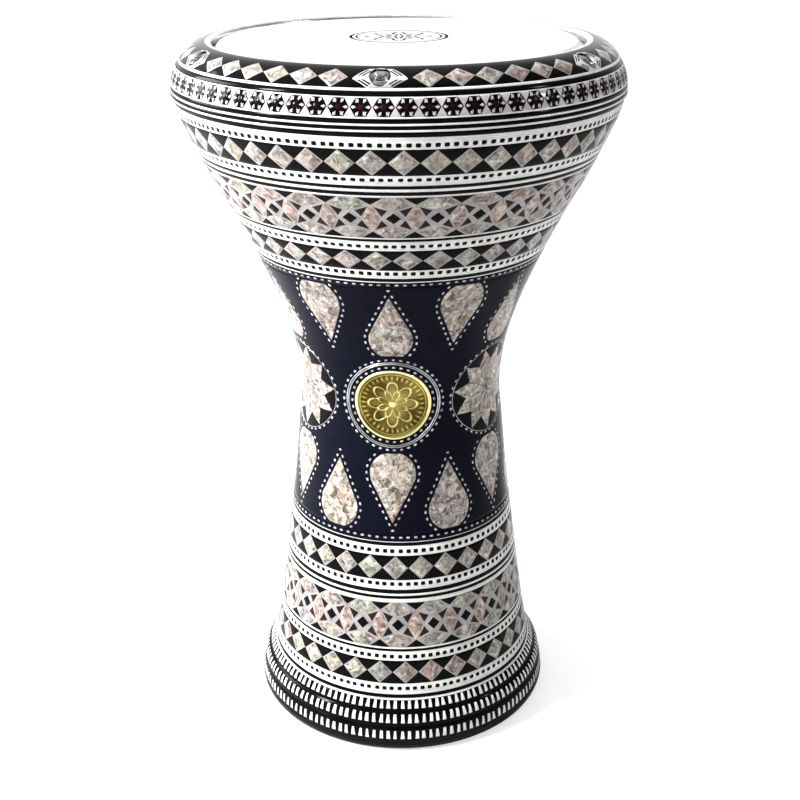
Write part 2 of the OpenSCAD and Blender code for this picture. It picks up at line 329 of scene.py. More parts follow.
AROUND = 360
EDGE = 0.05  # how much a strip's edges are eased
HALF_JOINT = 0.03  # half the joint between two neighbouring strips
STRIP_DEEP = 1.1


def hoop(into, s0, s1, depth=STRIP_DEEP, step=2.5):
    """A strip laid right around the surface between two arc lengths, with eased edges."""
    s0, s1 = s0 + HALF_JOINT, s1 - HALF_JOINT
    n = max(1, math.ceil((s1 - s0 - 2 * EDGE) / step))
    level = np.linspace(s0 + EDGE, s1 - EDGE, n + 1)
    s = np.concatenate([[s0], level, [s1, s1], level[::-1], [s0]])
    lift = np.concatenate([[-EDGE], np.zeros(n + 1), [-EDGE], np.full(n + 3, -depth)])
    angle = np.arange(AROUND) * math.tau / AROUND
    points = skin.place(angle[None, :], s[:, None], lift[:, None]).reshape(-1, 3)
    rows = len(s)
    faces, smooth = [], []
    for k in range(rows):
        above = (k + 1) % rows
        for i in range(AROUND):
            j = (i + 1) % AROUND
            faces.append((k * AROUND + i, k * AROUND + j, above * AROUND + j, above * AROUND + i))
        smooth += [k != n + 2 and k != rows - 1] * AROUND
    into.add(points, faces, smooth)


def rounded_box(wide, high, corner, steps=3):
    """Outline of a rectangle with round corners."""
    out = []
    for quarter, (sx, sy) in enumerate([(1, 1), (-1, 1), (-1, -1), (1, -1)]):
        for k in range(steps + 1):
            a = (quarter + k / steps) * math.pi / 2
            out.append((sx * (wide / 2 - corner) + corner * math.cos(a),
                        sy * (high / 2 - corner) + corner * math.sin(a)))
    return np.array(out)


def turned(outline, angle):
    c, s = math.cos(angle), math.sin(angle)
    x, y = np.asarray(outline, float).T
    return np.stack([x * c - y * s, x * s + y * c], 1)


def rhomb(wide, high):
    return np.array([(wide, 0), (0, high), (-wide, 0), (0, -high)])


# ---------- materials ----------

class Look:
    """A node material in the making. Each call adds a node and gives its chosen output."""

    def __init__(self, name, **shader):
        self.material = bpy.data.materials.new(name)
        self.material.use_nodes = True
        self.tree = self.material.node_tree
        self.shader = self.tree.nodes["Principled BSDF"]
        self.done(**shader)

    def put(self, node, socket, value):
        if isinstance(value, bpy.types.NodeSocket):
            self.tree.links.new(value, node.inputs[socket])
        elif isinstance(value, tuple) and len(node.inputs[socket].default_value) == 4:
            node.inputs[socket].default_value = (*value[:3], 1)
        else:
            node.inputs[socket].default_value = value

    def add(self, kind, output=0, inputs=None, **settings):
        node = self.tree.nodes.new("ShaderNode" + kind)
        for key, value in settings.items():
            setattr(node, key, value)
        for socket, value in (inputs or {}).items():
            self.put(node, socket, value)
        return node.outputs[output]

    def place(self):
        """Position in the part's own frame, in metres."""
        return self.add("TexCoord", "Object")

    def attribute(self, name, output):
        return self.add("Attribute", output, attribute_name=name)

    def noise(self, at, scale, detail=4.0, roughness=0.55, distortion=0.0, output="Fac"):
        return self.add("TexNoise", output, {
            "Vector": at, "Scale": scale, "Detail": detail,
            "Roughness": roughness, "Distortion": distortion})

    def math(self, operation, a, b):
        return self.add("Math", 0, {0: a, 1: b}, operation=operation)

    def ramp(self, fac, stops):
        """Colour ramp from (place, colour) stops."""
        node = self.tree.nodes.new("ShaderNodeValToRGB")
        elements = node.color_ramp.elements
        while len(elements) < len(stops):
            elements.new(1)
        for element, (at, colour) in zip(elements, stops):
            element.position = at
            element.color = (*colour, 1)
        self.put(node, "Fac", fac)
        return node.outputs["Color"]

    def span(self, value, low, high, from_low=0.0, from_high=1.0):
        return self.add("MapRange", 0, {
            "Value": value, "From Min": from_low, "From Max": from_high,
            "To Min": low, "To Max": high})

    def mix(self, fac, a, b, blend="MIX"):
        return self.add("Mix", 2, {0: fac, 6: a, 7: b}, data_type="RGBA", blend_type=blend)

    def bump(self, height, strength, distance):
        normal = self.add("Bump", 0, {"Height": height, "Strength": strength, "Distance": distance})
        self.put(self.shader, "Normal", normal)

    def done(self, **shader):
        """Sets sockets of the shader and gives the material."""
        for socket, value in shader.items():
            self.put(self.shader, socket.replace("_", " ").title().replace("Ior", "IOR"), value)
        return self.material


def stone(name, dark, light, roughness=0.22, specular=0.5, tone_spread=0.0):
    """Polished resin or bone inlay: mottled colour, fine polishing marks and dull specks."""
    look = Look(name, specular_ior_level=specular)
    at = look.place()
    mottle = look.noise(at, 90.0, 5.0, 0.6)
    colour = look.ramp(mottle, [(0.3, dark), (0.72, light)])
    if tone_spread:
        tone = look.span(look.attribute("tone", "Fac"), 1 - tone_spread, 1.0)
        grey = look.add("CombineColor", 0, {0: tone, 1: tone, 2: tone})
        colour = look.mix(1.0, colour, grey, "MULTIPLY")
    dull = look.noise(at, 420.0, 3.0, 0.7)
    look.bump(look.noise(at, 900.0, 2.0, 0.6), 0.12, 0.00004)
    return look.done(base_color=colour, roughness=look.span(dull, roughness * 0.7, roughness * 1.5))


def shell_pearl(name, stops, blush, leaf, size=1.0):
    """Mother of pearl: crumpled layers that break the light, each tile's own cut and tint, and a
    painted sheen.
    """
    look = Look(name, specular_ior_level=0.45, metallic=0.1)
    grain = look.attribute("grain", "Vector")
    tone = look.attribute("tone", "Fac")
    warp = look.noise(grain, 0.20 / size, 2.0, 0.5, output="Color")
    bent = look.add("VectorMath", 0, {
        0: warp, 1: (8.0 * size,) * 3, 2: grain}, operation="MULTIPLY_ADD")
    folds = look.noise(bent, 0.30 / size, 3.0, 0.55, 0.9)
    facets = look.add("TexVoronoi", "Distance", {"Vector": bent, "Scale": 0.42 / size})
    fine = look.noise(grain, 1.6, 3.0, 0.6)
    body = look.math("ADD", look.math("MULTIPLY", folds, 0.80), look.math("MULTIPLY", facets, 0.16))
    body = look.math("ADD", body, look.math("MULTIPLY", fine, 0.10))
    colour = look.ramp(body, stops)
    tint = look.ramp(tone, [
        (0.0, blush), (0.35, (0.86, 0.85, 0.84)), (0.65, (1.0, 0.98, 0.95)), (1.0, leaf)])
    colour = look.mix(1.0, colour, tint, "MULTIPLY")
    # Painted sheen: fixed pink, white and blue tints in the base colour stand in for the shell's
    # iridescent shimmer.
    painted_sheen = look.ramp(look.noise(bent, 0.16 / size, 2.0, 0.5), [
        (0.36, (1.0, 0.90, 0.84)), (0.5, (1.0, 1.0, 1.0)), (0.64, (0.90, 0.96, 0.98))])
    colour = look.mix(1.0, colour, painted_sheen, "MULTIPLY")
    look.bump(body, 0.5, 0.0009 * size)
    return look.done(base_color=colour, roughness=look.span(fine, 0.18, 0.45, 0.3, 0.7),
                     coat_weight=0.5, coat_roughness=0.04)


def metal(name, colour, worn, roughness, scale=300.0, strength=0.15):
    """Bare metal with fine marks and slightly duller patches."""
    look = Look(name, metallic=1.0)
    at = look.place()
    patches = look.noise(at, scale * 0.2, 4.0, 0.6)
    look.bump(look.noise(at, scale * 6, 2.0, 0.6), strength, 0.00003)
    return look.done(base_color=look.ramp(patches, [(0.35, worn), (0.62, colour)]),
                     roughness=look.span(patches, roughness * 1.5, roughness * 0.8, 0.3, 0.7))


def medal_look():
    """Stamped brass: bright on the raised lines, brown patina in the hollows."""
    look = Look("medallion_brass", metallic=1.0)
    at = look.place()
    patches = look.noise(at, 55.0, 3.0, 0.5)
    uneven = look.span(patches, -0.16, 0.16, 0.3, 0.7)
    height = look.math("ADD", look.attribute("tone", "Fac"), uneven)
    look.bump(look.noise(at, 900.0, 3.0, 0.6), 0.2, 0.00005)
    colour = look.ramp(height, [
        (0.0, (0.07, 0.05, 0.009)), (0.30, (0.33, 0.255, 0.062)),
        (0.55, (0.66, 0.54, 0.18)), (0.9, (0.86, 0.78, 0.42))])
    return look.done(base_color=colour, roughness=look.span(height, 0.42, 0.16))


WHITE = stone("white_inlay", (0.66, 0.65, 0.625), (0.84, 0.835, 0.81), 0.12, 0.4)
BLACK = stone("black_inlay", (0.0010, 0.0010, 0.0012), (0.003, 0.003, 0.0034), 0.09, 0.05)
BEAD = stone("bead_inlay", (0.36, 0.37, 0.39), (0.72, 0.73, 0.74), 0.12, tone_spread=0.5)
BROWN = stone("brown_inlay", (0.008, 0.004, 0.003), (0.036, 0.019, 0.015), 0.12, 0.1, 0.6)
MAROON = stone("maroon_inlay", (0.008, 0.001, 0.003), (0.035, 0.005, 0.010), 0.12, 0.1, 0.5)
PEARL = shell_pearl("pearl", [
    (0.36, (0.045, 0.034, 0.027)), (0.45, (0.15, 0.125, 0.11)), (0.53, (0.27, 0.245, 0.225)),
    (0.62, (0.42, 0.40, 0.375)), (0.74, (0.80, 0.79, 0.76))],
    (1.0, 0.86, 0.82), (0.93, 1.0, 0.84), 1.5)
DROP_PEARL = shell_pearl("drop_pearl", [
    (0.38, (0.035, 0.025, 0.018)), (0.46, (0.155, 0.12, 0.10)), (0.53, (0.31, 0.27, 0.24)),
    (0.61, (0.48, 0.44, 0.40)), (0.72, (0.80, 0.77, 0.73))],
    (1.0, 0.84, 0.74), (0.98, 0.96, 0.86), 1.25)
ROSE = shell_pearl("rose_pearl", [
    (0.36, (0.07, 0.035, 0.027)), (0.46, (0.21, 0.135, 0.115)), (0.55, (0.34, 0.25, 0.225)),
    (0.74, (0.76, 0.66, 0.62))], (1.0, 0.88, 0.85), (1.0, 0.98, 0.86), 1.5)
OUTLINE = stone("outline_inlay", (0.25, 0.23, 0.225), (0.44, 0.41, 0.40), 0.12, tone_spread=0.2)
MOSAIC_GROUND = stone("mosaic_ground", (0.34, 0.32, 0.33), (0.62, 0.58, 0.60), 0.22)
NAVY = stone("navy_lacquer", (0.0016, 0.0020, 0.0062), (0.0030, 0.0036, 0.0105), 0.06, 0.045)
SILVER = metal("silver_inlay", (0.62, 0.62, 0.66), (0.32, 0.32, 0.35), 0.25)
BRASS = medal_look()
LIP = metal("ring_metal", (0.80, 0.81, 0.82), (0.55, 0.56, 0.58), 0.18)
HOOP = metal("hoop_metal", (0.55, 0.56, 0.57), (0.36, 0.37, 0.38), 0.4)
CHROME = metal("bolt_chrome", (0.42, 0.43, 0.44), (0.15, 0.155, 0.165), 0.14)
PLATE_METAL = metal("plate_metal", (0.90, 0.90, 0.92), (0.70, 0.70, 0.72), 0.3)


def film_look():
    """Coated drumhead film: milky, faintly cloudy, with a fine even tooth."""
    look = Look("head_film", specular_ior_level=0.4)
    at = look.place()
    cloud = look.noise(at, 14.0, 5.0, 0.6)
    look.bump(look.noise(at, 1600.0, 2.0, 0.6), 0.15, 0.00003)
    colour = look.ramp(cloud, [(0.3, (0.60, 0.60, 0.592)), (0.7, (0.67, 0.67, 0.665))])
    return look.done(base_color=colour, roughness=look.span(cloud, 0.32, 0.46))


FOOT_EDGE_TOP, FOOT_EDGE_R = 11.5, 93.5  # the glossy foot edge is below and outside these


def casting_look():
    """Cast aluminium shell: black enamel, glossy on the foot's edge and sandy inside."""
    look = Look("cast_shell", specular_ior_level=0.08)
    at = look.place()
    height = look.add("SeparateXYZ", 2, {"Vector": at})
    level = look.add("VectorMath", 0, {0: at, 1: (1.0, 1.0, 0.0)}, operation="MULTIPLY")
    radius = look.add("VectorMath", "Value", {0: level}, operation="LENGTH")
    edge = look.math("MULTIPLY", look.math("LESS_THAN", height, FOOT_EDGE_TOP * MM),
                     look.math("GREATER_THAN", radius, FOOT_EDGE_R * MM))
    sand = look.noise(at, 700.0, 4.0, 0.7)
    colour = look.ramp(look.noise(at, 60.0), [
        (0.3, (0.002, 0.002, 0.0024)), (0.7, (0.007, 0.007, 0.008))])
    look.bump(sand, 0.35, look.span(edge, 0.00016, 0.000008))
    return look.done(base_color=colour, roughness=look.span(edge, 0.6, 0.16))


FILM = film_look()
CASTING = casting_look()
INK = stone("label_ink", (0.008, 0.008, 0.009), (0.03, 0.03, 0.032), 0.6, 0.0)

LOOK_OF = {"white": (WHITE, "white_inlay"), "black": (BLACK, "black_inlay"),
           "navy": (NAVY, "navy_lacquer"), "bead": (BEAD, "bead_inlay"),
           "pearl": (PEARL, "pearl"), "rose": (ROSE, "rose_pearl"),
           "outline": (OUTLINE, "pearl"), "brown": (BROWN, "rose_pearl"),
           "maroon": (MAROON, "mosaic"), "mosaic": (MOSAIC_GROUND, "mosaic"),
           "silver": (SILVER, "silver_inlay"), "drop": (DROP_PEARL, "pearl"),
           "plate": (PLATE_METAL, "silver_inlay"), "brass": (BRASS, "medallion_brass")}


class Sorted:
    """Pieces of one part of the pattern, sorted by their look."""

    def __init__(self, name, body, *nodes):
        self.name, self.body, self.nodes = name, body, nodes
        self.of = {}

    def __getitem__(self, look):
        return self.of.setdefault(look, Pieces())

    def build(self):
        for look, pieces in self.of.items():
            material, slot = LOOK_OF[look]
            pieces.build(f"{self.name}_{look}", material, self.body, slot, *self.nodes)


# ---------- stripes and dots ----------

def stripes(node, body, bands, depth=STRIP_DEEP):
    """A node's stripes, from its bottom up, as (look, width) shares of its whole width."""
    parts = Sorted(node, body, node)
    low, high = levels(node)
    scale = (high - low) / sum(width for _, width in bands)
    s = low
    for look, width in bands:
        hoop(parts[look], s, s + width * scale, depth)
        s += width * scale
    return parts


def row_of(into, s, count, outline, first, wobble, **kind):
    """Pieces set at even steps right around the surface."""
    for k in range(count):
        angle = first + (k + rng.uniform(-wobble, wobble)) * math.tau / count
        tile(into, outline, on_band(angle, s), **kind)


def count_for(s, pitch):
    """How many steps of a pitch go around the surface."""
    return round(math.tau * float(skin.r_at(s)) / pitch)


DOT_PITCH = 5.0
DOT_WIDE = 2.9
DASH_WIDE = 2.1
SIDE_LINE = 1.0
SMALL = {"bevel": 0.08, "longest": 2.0}


def dotted_strip(node, centre, high):
    """White stock strip with black dots, between two white lines."""
    low, top = heights(node)
    parts = stripes(node, "drum", [
        ("white", SIDE_LINE), ("white", top - low - 2 * SIDE_LINE), ("white", SIDE_LINE)])
    s = float(skin.s_at(low + (top - low) * centre))
    row_of(parts["black"], s, count_for(s, DOT_PITCH), rounded_box(DOT_WIDE, high, 0.7),
           FRONT, 0.06, rise=0.03, **SMALL)
    parts.build()


TOUCHING = 0.985  # share of a cell that an outline tile fills, so that neighbours nearly touch


def diamond_band(node, count, first):
    """Pearl lozenges with light outlines, point to point, between black triangles."""
    parts = Sorted(node, "drum", node)
    low, high = levels(node)
    hoop(parts["black"], low, high)
    s = (low + high) / 2
    half_wide = math.pi * float(skin.r_at(s)) / count
    half_high = (high - low) / 2
    for k in range(count):
        lay = on_band(math.radians(first) + k * math.tau / count, s)
        tile(parts["outline"], rhomb(half_wide, half_high) * TOUCHING, lay, 0.03, 0.08)
        tile(parts["pearl"], rhomb(half_wide - 1.15, half_high - 1.05), lay, 0.07, 0.14)
    parts.build()


# A cell of the lattice, as shares of half its width and half its height
LENS = [(-0.34, 0.985), (0.34, 0.985), (0.79, 0.69), (0.42, 0.50),
        (0.0, 0.41), (-0.42, 0.50), (-0.79, 0.69)]
SLIVER = [(0.87, 0.57), (0.27, 0.38), (0.54, 0.09)]
EDGE_TRIANGLE = [(0.43, 0.985), (1.57, 0.985), (1.0, 0.66)]
SPINDLE = [(0.36, 0.0), (0.30, 0.20), (0.0, 0.69), (-0.30, 0.20),
           (-0.36, 0.0), (-0.30, -0.20), (0.0, -0.69), (0.30, -0.20)]


def lattice_band(node, count, first, top_line):
    """Woven lattice: black squares, rose spindles, pearl lenses and brown slivers on strips."""
    parts = Sorted(node, "drum", node)
    low, high = levels(node)
    if top_line:
        hoop(parts["white"], high - top_line, high)
        high -= top_line
    hoop(parts["outline"], low, high)
    s = (low + high) / 2
    size = np.array([math.pi * float(skin.r_at(s)) / count, (high - low) / 2])
    for k in range(count):
        lay = on_band(math.radians(first) + k * math.tau / count, s)
        tile(parts["outline"], rhomb(0.50, 0.38) * size, lay, 0.045, 0.08)
        tile(parts["black"], rhomb(0.355, 0.27) * size, lay, 0.075, 0.1)
        tile(parts["rose"], (np.array(SPINDLE) + (1, 0)) * size, lay, RISE)
        for up in (1, -1):
            tile(parts["pearl"], LENS * size * (1, up), lay, RISE)
            tile(parts["black"], EDGE_TRIANGLE * size * (1, up), lay, 0.05, 0.1)
            for side in (1, -1):
                tile(parts["brown"], SLIVER * size * (side, up), lay, 0.05, 0.1)
    parts.build()


def ladder_strip(node, low_share, high_share, pitch, top_line=0.0):
    """Black bead with white rungs."""
    low, high = levels(node)
    parts = Sorted(node, "drum", node)
    hoop(parts["black"], low, high - top_line, step=0.8)
    if top_line:
        hoop(parts["white"], high - top_line, high, step=0.8)
    s0, s1 = low + (high - low) * low_share, low + (high - low) * high_share
    s = (s0 + s1) / 2
    count = count_for(s, pitch)
    for k in range(count):
        angle = (k + rng.uniform(-0.07, 0.07)) * math.tau / count
        foot, top = rng.uniform(1.15, 1.45), rng.uniform(0.6, 1.0)
        tall, lean = (s1 - s0) / 2 * rng.uniform(0.92, 1.0), rng.uniform(-0.3, 0.3)
        tooth = [(foot, -tall), (top + lean, tall), (lean - top, tall), (-foot, -tall)]
        tile(parts["white"], tooth, on_band(angle, s), 0.04, 0.1, 1.2)
    parts.build()


def dashes(parts, s, high):
    """A row of light dashes."""
    row_of(parts["bead"], s, count_for(s, DOT_PITCH), rounded_box(DASH_WIDE, high, 0.5),
           FRONT, 0.05, rise=0.05, **SMALL)


# Thin, so that the clamp ring clears its top edge when it is drawn down
stripes("stripe_strip_a", "drum", [("white", 1.1), ("black", 2.1)], depth=0.35).build()
stripes("stripe_strip_b", "drum", [("white", 1.0), ("black", 2.2), ("white", 1.7), ("black", 2.0),
                                   ("white", 0.6)]).build()
stripes("stripe_strip_c", "drum", [("white", 0.5), ("black", 1.7), ("white", 0.8)]).build()
strip_d = stripes("stripe_strip_d", "drum", [("navy", 3.3), ("white", 0.7), ("black", 2.2)])
strip_e = stripes("stripe_strip_e", "drum", [("black", 2.35), ("white", 0.45), ("navy", 4.9)])
for strip, at, tall in ((strip_d, 0.26, 1.15), (strip_e, 0.73, 1.25)):
    bottom, top = heights(strip.name)
    dashes(strip, float(skin.s_at(bottom + (top - bottom) * at)), tall)
    strip.build()
stripes("stripe_strip_f", "drum", [("white", 0.8), ("black", 2.1), ("white", 1.5), ("black", 2.8),
                                   ("white", 0.3)]).build()
stripes("stripe_strip_g", "drum", [("white", 0.3), ("black", 1.8), ("white", 1.1)]).build()
stripes("stripe_strip_h", "drum", [("white", 0.3), ("black", 2.4), ("white", 0.7)]).build()
for node, centre, tall in zip(DOTTED, (0.44, 0.55, 0.53, 0.60, 0.48, 0.58, 0.49, 0.52),
                              (2.5, 2.3, 2.5, 2.7, 2.8, 2.7, 2.8, 2.6)):
    dotted_strip(node, centre, tall)
for node, number, first in zip(DIAMONDS, (48, 36, 29, 32), (1.0, 2.5, -3.0, 1.5)):
    diamond_band(node, number, first)
lattice_band("lattice_band_a", 30, -1.7, 0.0)
lattice_band("lattice_band_b", 22, -1.8, 1.6)
ladder_strip("ladder_strip_a", 0.19, 0.86, 4.6, 1.0)
ladder_strip("ladder_strip_b", 0.25, 0.82, 4.7)
ladder_strip("ladder_strip_c", 0.06, 0.70, 4.75)


# ---------- navy panel ----------

navy = Sorted("navy_panel", "drum", "navy_panel")
hoop(navy["navy"], *levels("navy_panel"))
navy.build()

BEAD_LONG, BEAD_WIDE, BEAD_PITCH = 1.9, 1.2, 4.6
BEAD_AWAY = 2.1  # from the edge of a drop to the middle of its beads


def bead(into, lay, at, direction):
    """A small white bead lying along a line."""
    shape = turned(rounded_box(BEAD_LONG, BEAD_WIDE, 0.52), direction) + at
    tile(into, shape, lay, 0.07, 0.1, 2.0, crown=0.05)


def bead_circle(into, lay, radius, count):
    for k in range(count):
        a = (k + 0.5) * math.tau / count
        bead(into, lay, radius * np.array([math.cos(a), math.sin(a)]), a + math.pi / 2)


def drop_outline(radius, tip, cut, margin=0.0, steps=28):
    """A drop with its tip up, as a line from the flat's left end over the tip to its right end."""
    touch = math.acos(radius / tip)
    r = radius + margin
    trim = math.pi - math.acos(min(1.0, cut / r))
    arc = [touch + (trim - touch) * k / steps for k in range(steps + 1)]
    right = [(r * math.sin(a), r * math.cos(a)) for a in arc]
    left = [(-x, y) for x, y in reversed(right)]
    return np.array(left + [(0, tip * r / radius)] + right)


def along(line, pitch, from_middle):
    """Evenly spaced points and directions along an open line, counted from its middle vertex."""
    run = np.concatenate([[0], np.cumsum(np.hypot(*np.diff(line, axis=0).T))])
    middle = run[len(line) // 2] if from_middle else 0
    count = int(min(middle, run[-1] - middle) / pitch)
    for k in range(-count, count + 1):
        at = middle + k * pitch
        behind, point, ahead = (
            np.array([np.interp(at + away, run, line[:, i]) for i in range(2)])
            for away in (-0.2, 0.0, 0.2))
        yield point, math.atan2(*(ahead - behind)[::-1])


# Radius of the round end, distance from its centre to the tip and to the flat, and tip up or not
DROPS = {"drops_upper_main": (13.4, 30.5, 11.7, True),
         "drops_lower_main": (14.6, 33.0, 13.7, False),
         "drops_upper_between": (14.0, 30.0, 11.6, False),
         "drops_lower_between": (14.3, 32.5, 13.2, True)}
borders = Pieces()
for node, (radius, tip, cut, tip_up) in DROPS.items():
    low, high = heights(node)
    centre = low + cut if tip_up else high - cut
    flip = np.array([1, 1 if tip_up else -1])
    first = 0.5 if "between" in node else 0.0
    plates = Pieces()
    for k in range(6):
        lay = cut_straight(FRONT + (first + k) * SIXTH, centre)
        tile(plates, drop_outline(radius, tip, cut) * flip, lay, 0.08, 0.3, 2.2)
        for point, direction in along(drop_outline(radius, tip, cut, BEAD_AWAY), BEAD_PITCH, True):
            bead(borders, lay, point * flip, direction * flip[1])
    plates.build(f"{node}_plates", DROP_PEARL, "drum", "pearl", node)
borders.build("drop_border_beads", BEAD, "drum", "bead_inlay", "drop_borders")


def wire(into, lay, radius, wide, rise=0.12):
    """A thin round wire laid in a circle."""
    steps = 144
    rows = [(radius - wide / 2, -SINK), (radius - wide / 2, 0.0), (radius - wide / 4, rise),
            (radius + wide / 4, rise), (radius + wide / 2, 0.0), (radius + wide / 2, -SINK)]
    a = np.arange(steps) * math.tau / steps
    points = np.concatenate([
        lay(r * np.cos(a), r * np.sin(a), np.full(steps, up)) for r, up in rows])
    faces = []
    for k in range(len(rows)):
        above = (k + 1) % len(rows)
        for i in range(steps):
            j = (i + 1) % steps
            faces.append((k * steps + i, above * steps + i, above * steps + j, k * steps + j))
    into.add(points, faces, [True] * len(faces))


def circle(radius, steps=96):
    a = np.arange(steps) * math.tau / steps
    return np.stack([radius * np.cos(a), radius * np.sin(a)], 1)


STAR_POINTS, STAR_TIP, STAR_VALLEY = 11, 28.6, 19.4
STAR_RING, STAR_BEADS = 29.2, 30.5
# Distances beyond the medallion's edge: ground, bead circles with their counts, and wires
MEDAL_GROUND, MEDAL_BEADS, MEDAL_WIRES = 5.6, ((1.85, 35), (7.2, 43)), (4.2, 5.3)
medal_low, medal_high = heights("medallion")
MEDAL_Z = (medal_low + medal_high) / 2
MEDAL_R = (medal_high - medal_low) / 2
star = Sorted("star", "drum", "star_plates", "star_grounds", "star_borders")
star_step = math.pi / STAR_POINTS
valley_x, valley_y = STAR_VALLEY * math.sin(star_step), -STAR_VALLEY * math.cos(star_step)
star_kite = counter_clockwise([
    (0.0, -0.6), (valley_x, valley_y), (0.0, -STAR_TIP), (-valley_x, valley_y)])
star_kite = move_in(star_kite, HALF_JOINT)
for k in range(1, 6):
    lay = cut_straight(FRONT + k * SIXTH, MEDAL_Z)
    tile(star["black"], circle(STAR_RING), lay, 0.02, 0.05, 3.0)
    for p in range(STAR_POINTS):
        tile(star["drop"], turned(star_kite, 2 * star_step * p), lay, 0.1, 0.16)
    wire(star["silver"], lay, STAR_RING, 0.4)
    bead_circle(star["bead"], lay, STAR_BEADS, 40)
star.build()

medal_ring = Sorted("medallion_border", "drum", "medallion_border")
medal_lay = cut_straight(FRONT, MEDAL_Z)
tile(medal_ring["black"], circle(MEDAL_R + MEDAL_GROUND), medal_lay, 0.02, 0.05, 3.0)
for away, count in MEDAL_BEADS:
    bead_circle(medal_ring["bead"], medal_lay, MEDAL_R + away, count)
for away in MEDAL_WIRES:
    wire(medal_ring["silver"], medal_lay, MEDAL_R + away, 0.75, 0.18)
medal_ring.build()


def medal_height(share, angle):
    """Relief of the medallion: a raised rim, a ring of rays and an eight-petalled flower."""
    def ridge(distance, width):
        return np.exp(-(distance / width) ** 2)
    rim = 0.50 / (1 + np.exp(-(share - 0.925) / 0.006))
    line = 0.22 * ridge(share - 0.87, 0.014)
    rays = 0.24 * np.clip(np.cos(36 * angle), 0, 1) * ridge(share - 0.765, 0.06)
    petals = 0.30 + 0.34 * np.abs(np.cos(4 * angle)) ** 0.7
    inner = 0.14 + 0.26 * np.abs(np.sin(4 * angle)) ** 0.8
    flower = 0.42 * ridge(share - petals, 0.026) + 0.32 * ridge(share - inner, 0.024)
    fill = 0.16 * np.clip(1 - share / petals, 0, 1)
    boss = 0.42 * np.clip(1 - (share / 0.11) ** 2, 0, 1)
    return 0.15 + rim + line + rays + flower + fill + boss


MEDAL_RINGS, MEDAL_STEPS = 96, 288
share = np.concatenate([[1.0, 1.0], np.linspace(0.992, 0.012, MEDAL_RINGS)])
angle = np.arange(MEDAL_STEPS) * math.tau / MEDAL_STEPS
shares, angles = (grid.ravel() for grid in np.meshgrid(share, angle, indexing="ij"))
relief = medal_height(shares, angles)
relief[:MEDAL_STEPS] = -SINK
relief[MEDAL_STEPS:2 * MEDAL_STEPS] -= 0.12
shares, angles = np.append(shares, 0.0), np.append(angles, 0.0)
relief = np.append(relief, medal_height(np.array(0.0), np.array(0.0)))
medal = Pieces()
medal.rings(medal_lay(MEDAL_R * shares * np.cos(angles), MEDAL_R * shares * np.sin(angles), relief),
            MEDAL_STEPS, [False, True], tone=(relief - 0.15) / 0.5)
medal.build("medallion_relief", BRASS, "drum", "medallion_brass", "medallion")


# ---------- clamp ring ----------

stripes("ring_lower_stripes", "ring", [("white", 1.2), ("black", 2.0), ("white", 1.1),
                                       ("black", 2.5), ("white", 0.9)]).build()
stripes("ring_upper_stripes", "ring", [("white", 0.9), ("black", 2.5), ("white", 1.3)]).build()

mosaic = Sorted("ring_mosaic", "ring", "ring_mosaic_band")
low, high = levels("ring_mosaic_band")
hoop(mosaic["mosaic"], low, high)
HEXAGONS = 72
HEX_HIGH = (high - low) * 0.97
HEX_R = HEX_HIGH / math.sqrt(3)
hexagon = circle(HEX_R, 6)
HEX_WIDEN = math.pi * float(skin.r_at(low)) / HEXAGONS / HEX_R * TOUCHING
HEX_FIRST = FRONT + 0.019  # middle of the first cell, a little to the right of the front bolt
KITE_DRAWN = 5.1  # radius of the hexagon that the kite's corners are given for
KITE = np.array([(2.2, 0), (3.7, 0.8), (4.75, 0), (3.7, -0.8)]) * (HEX_R / KITE_DRAWN)
for k in range(HEXAGONS):
    lay = on_band(HEX_FIRST + k * math.tau / HEXAGONS, (low + high) / 2)
    tile(mosaic["black"], hexagon * (HEX_WIDEN, 1), lay, 0.03, 0.1)
    tile(mosaic["maroon"], circle(1.6, 12), lay, 0.09, 0.1)
    for corner in range(6):
        tile(mosaic["mosaic"], turned(KITE, corner * SIXTH), lay, 0.10, 0.05)
mosaic.build()

crown = Sorted("ring_diamonds", "ring", "ring_diamond_band")
bolt_low, bolt_high = node_box(BOLTS[0])
BOLT_CIRCLE = math.hypot(bolt_low.x + bolt_high.x, bolt_low.y + bolt_high.y) / 2
s_low, s_high = levels("ring_upper_stripes")[1], float(skin.s[-1])
DIAMOND_TALL = 13.0
S_DIAMOND = s_low + DIAMOND_TALL / 2
POCKET_R = 5.5
PLATE_HALF, PLATE_END = 14.8, 6.4  # half a plate's width at its middle, and at its two ends
PLATE_DEEP = 13.6
plate_out, PLATE_MID, plate_in = (
    float(skin.r_at(s)) - BOLT_CIRCLE for s in (s_low, S_DIAMOND, s_low + PLATE_DEEP))
PLATE = np.array([(PLATE_HALF, PLATE_MID), (PLATE_END, plate_out), (-PLATE_END, plate_out),
                  (-PLATE_HALF, PLATE_MID), (-PLATE_END, plate_in), (PLATE_END, plate_in)])


def around_pocket(outline, steps=120):
    """Points of an outline in even directions from the pocket's middle."""
    points = split_sides(counter_clockwise(outline), 0.3)
    direction = np.arctan2(points[:, 1], points[:, 0])
    order = np.argsort(direction)
    wanted = np.linspace(-math.pi, math.pi, steps, endpoint=False)
    return np.stack([np.interp(wanted, direction[order], points[order, i], period=math.tau)
                     for i in range(2)], 1)


